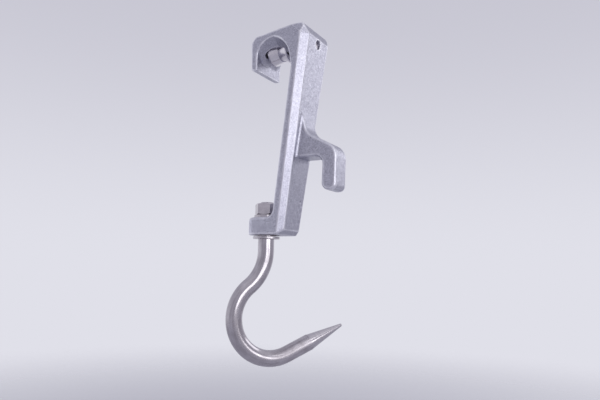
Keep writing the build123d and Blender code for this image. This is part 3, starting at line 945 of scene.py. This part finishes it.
@dataclass
class SwivelHook:
    """The bent bar with its turned spindle and point, swept as one smooth skin on the node's line.

    Heights are counted from the bottom of the foot, and places across from the spindle's axis.
    """

    node: str = "swivel_hook"
    foot_bottom_mm: float = -198.5
    swivel_deg: float = -37.0
    down_deg: float = 270.0
    spindle_top_mm: float = 37.0
    spindle_radius_mm: float = 8.0
    spindle_chamfer_mm: float = 1.2
    shoulder_mm: float = -4.0
    shoulder_break_mm: float = 0.3
    bar_radius_mm: float = 9.0
    neck_radius_mm: float = 50.0
    bowl_radius_mm: float = 44.0
    bowl_across_mm: float = 9.5
    bowl_up_mm: float = -90.5
    tip_angle_deg: float = 24.2
    run_mm: float = 30.0
    cone_mm: float = 45.0
    cone_step_mm: float = 0.35
    ledge_mm: float = 2.5
    ledge_radius_mm: float = 8.4
    cone_rings: int = 10
    blunt_mm: float = 1.8
    blunt_angles_deg: tuple[float, ...] = (20.0, 40.0, 60.0, 78.0)
    step_mm: float = 1.25
    around: int = 64
    sharp_deg: float = 24.0

    def build(self) -> bpy.types.Object:
        """Sweep the bar and finish it.

        Returns:
            The piece that stands for the node.
        """
        plain = self.spindle() + self.bar()
        mesh = self.skin(plain + self.point())
        piece = bpy.data.objects.new("hook_bar", mesh)
        bpy.context.scene.collection.objects.link(piece)
        finish = PolishedBar(self.spindle_top_mm - self.shoulder_mm, self.length_of(plain))
        mesh.materials.append(finish.make())
        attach(piece, "hook_unit")
        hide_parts(self.node)
        log.info("built %s with %d faces", piece.name, len(mesh.polygons))
        return piece

    def spindle(self) -> list[Ring]:
        """Set out the spindle, from its chamfered top down to the shoulder.

        Returns:
            The rings in order.
        """
        top, radius, cut = self.spindle_top_mm, self.spindle_radius_mm, self.spindle_chamfer_mm
        places = [(top, radius - cut), (top - cut, radius), (self.shoulder_mm, radius)]
        return [Ring(0.0, up, self.down_deg, size) for up, size in places]

    def bar(self) -> list[Ring]:
        """Set out the plain bar: shank, neck, bowl and straight run.

        Returns:
            The rings in order.
        """
        radius, down = self.bar_radius_mm, self.down_deg
        reach = self.neck_radius_mm + self.bowl_radius_mm
        aside = self.neck_radius_mm + self.bowl_across_mm
        rise = math.sqrt(reach**2 - aside**2)
        neck_up = self.bowl_up_mm + rise
        turn = math.degrees(math.atan2(rise, aside))
        below_break = self.shoulder_mm - self.shoulder_break_mm
        shank_mm = abs(neck_up - self.shoulder_mm)
        rings = [Ring(0.0, self.shoulder_mm, down, radius - self.shoulder_break_mm)]
        rings += [Ring(0.0, up, down, radius) for up in self.spread(below_break, neck_up, shank_mm)]
        rings += self.arc((-self.neck_radius_mm, neck_up), self.neck_radius_mm, (0.0, -turn))
        bowl_centre = (self.bowl_across_mm, self.bowl_up_mm)
        bowl_angles = (180.0 - turn, down + self.tip_angle_deg)
        rings += self.arc(bowl_centre, self.bowl_radius_mm, bowl_angles)
        return rings + self.along_run([(self.run_mm, radius)])

    def point(self) -> list[Ring]:
        """Set out the turned point: a fine step, a long cone and a rounded end.

        Returns:
            The rings in order.
        """
        start, blunt = self.run_mm, self.blunt_mm
        ledge, ledge_radius = self.ledge_mm, self.ledge_radius_mm
        blunt_from = start + self.cone_mm - blunt
        sizes = [(start, self.bar_radius_mm - self.cone_step_mm), (start + ledge, ledge_radius)]
        for share in np.linspace(1.0 / self.cone_rings, 1.0, self.cone_rings):
            along = start + ledge + share * (blunt_from - start - ledge)
            sizes.append((along, ledge_radius + share * (blunt - ledge_radius)))
        for angle in np.radians(self.blunt_angles_deg):
            sizes.append((blunt_from + blunt * math.sin(angle), blunt * math.cos(angle)))
        return self.along_run(sizes)

    def spread(self, start: float, end: float, length: float) -> list[float]:
        """Evenly spread values from start to end, about one step apart."""
        return list(np.linspace(start, end, max(2, round(length / self.step_mm) + 1)))

    def arc(self, centre: Range, radius: float, angles: Range) -> list[Ring]:
        """Set out the plain bar round an arc, without the ring at its start.

        Args:
            centre: Place of the arc's centre in the hook's plane.
            radius: Radius of the arc.
            angles: Angle of its start and end, in degrees.

        Returns:
            The rings in order.
        """
        way = math.copysign(90.0, angles[1] - angles[0])
        length = radius * math.radians(abs(angles[1] - angles[0]))
        rings = []
        for angle in self.spread(*angles, length)[1:]:
            across = centre[0] + radius * math.cos(math.radians(angle))
            up = centre[1] + radius * math.sin(math.radians(angle))
            rings.append(Ring(across, up, angle + way, self.bar_radius_mm))
        return rings

    def along_run(self, sizes: list[Range]) -> list[Ring]:
        """Set out rings on the last straight line.

        Args:
            sizes: Distance along the line and radius of each ring.

        Returns:
            The rings in order.
        """
        lean = math.radians(self.tip_angle_deg)
        across = self.bowl_across_mm + self.bowl_radius_mm * math.sin(lean)
        up = self.bowl_up_mm - self.bowl_radius_mm * math.cos(lean)
        rings = []
        for along, size in sizes:
            place = (across + along * math.cos(lean), up + along * math.sin(lean))
            rings.append(Ring(*place, self.tip_angle_deg, size))
        return rings

    def length_of(self, rings: list[Ring]) -> float:
        """Length of the line through the rings' centres, in millimetres."""
        places = [(ring.across_mm, ring.up_mm) for ring in rings]
        return sum(math.dist(one, other) for one, other in zip(places, places[1:]))

    def skin(self, rings: list[Ring]) -> bpy.types.Mesh:
        """Join the rings with quads, close both ends and keep each point's place on the bar.

        Args:
            rings: The rings from the spindle's top to the point.

        Returns:
            The closed mesh, with its places on the bar as an attribute for the finish.
        """
        points, marks = self.skin_points(rings)
        swivel = Matrix.Rotation(math.radians(self.swivel_deg), 3, "Z")
        origin = Vector((ROD_PLACE_MM[0], ROD_PLACE_MM[1], self.foot_bottom_mm))
        mesh = bpy.data.meshes.new("hook_bar")
        placed = [(swivel @ point + origin) * MM for point in points]
        mesh.from_pydata(placed, [], self.skin_faces(len(rings)))
        closed = bmesh.new()
        closed.from_mesh(mesh)
        bmesh.ops.recalc_face_normals(closed, faces=closed.faces)
        closed.to_mesh(mesh)
        closed.free()
        mesh.shade_smooth()
        mesh.set_sharp_from_angle(angle=math.radians(self.sharp_deg))
        attribute = mesh.attributes.new(BAR_PLACE, "FLOAT_VECTOR", "POINT")
        values = np.array(marks, dtype=np.float32) * MM
        attribute.data.foreach_set("vector", values.astype(np.float32).ravel())
        return mesh

    def skin_points(self, rings: list[Ring]) -> tuple[list[Vector], list[Place]]:
        """Work out the points round every ring, and then the middle point of each end.

        Args:
            rings: The rings from the spindle's top to the point.

        Returns:
            The points, and for each its length along the bar and its place across the bar.
        """
        points: list[Vector] = []
        marks: list[Place] = []
        sideways = Vector((0.0, 1.0, 0.0))
        turns = [2 * math.pi * number / self.around for number in range(self.around)]
        for number, ring in enumerate(rings):
            along = self.length_of(rings[: number + 1])
            for turn in turns:
                side = ring.outward() * math.cos(turn) + sideways * math.sin(turn)
                points.append(ring.centre() + side * ring.radius_mm)
                marks.append((along, ring.radius_mm * math.cos(turn), ring.radius_mm * math.sin(turn)))
        tip_mm = self.blunt_mm * (1 - math.sin(math.radians(self.blunt_angles_deg[-1])))
        points += [rings[0].centre(), rings[-1].centre() + rings[-1].ahead() * tip_mm]
        marks += [(0.0, 0.0, 0.0), (self.length_of(rings), 0.0, 0.0)]
        return points, marks

    def skin_faces(self, count: int) -> list[tuple[int, ...]]:
        """List the quads between the rings and the triangles that close both ends.

        Args:
            count: How many rings there are.

        Returns:
            The numbers of each face's points.
        """
        steps = [(place, (place + 1) % self.around) for place in range(self.around)]
        faces: list[tuple[int, ...]] = []
        for number in range(count - 1):
            low, high = number * self.around, (number + 1) * self.around
            faces += [(low + here, low + after, high + after, high + here) for here, after in steps]
        top_middle = count * self.around
        for base, middle in ((0, top_middle), (top_middle - self.around, top_middle + 1)):
            faces += [(base + here, base + after, middle) for here, after in steps]
        return faces


@dataclass
class HookUnit:
    """The swivel hook with its nut, washers and bush."""

    def build(self) -> None:
        """Make the hook and dress the nodes round it."""
        SwivelHook().build()
        # Turned and tumbled: satin, with faint rings.
        washer = Stainless("turned_washer", roughness=0.26, turning=Turning.ROD).make()
        dress("upper_washer", washer)
        dress("lower_washer", washer)
        # Milled from bar: bright flats with an uneven surface.
        nut = Stainless("milled_nut", "#D8D4D7", "#C0BCC0", 0.17, mark=Pattern(0.6, 2.0))
        dress("hook_nut", nut.make())
        # Pressed and sintered bronze: brown and matt from the oil in its pores.
        dress("foot_bush", FineFinish("sintered_bronze", "#A8794A", "#8F6239", 1.0, 0.42).make())


def main() -> None:
    """Build the studio and dress every piece."""
    bpy.context.scene.view_settings.view_transform = "Standard"
    Studio().build()
    CastFrame().build()
    RollerUnit().build()
    HookUnit().build()


if __name__ == "__main__":
    main()
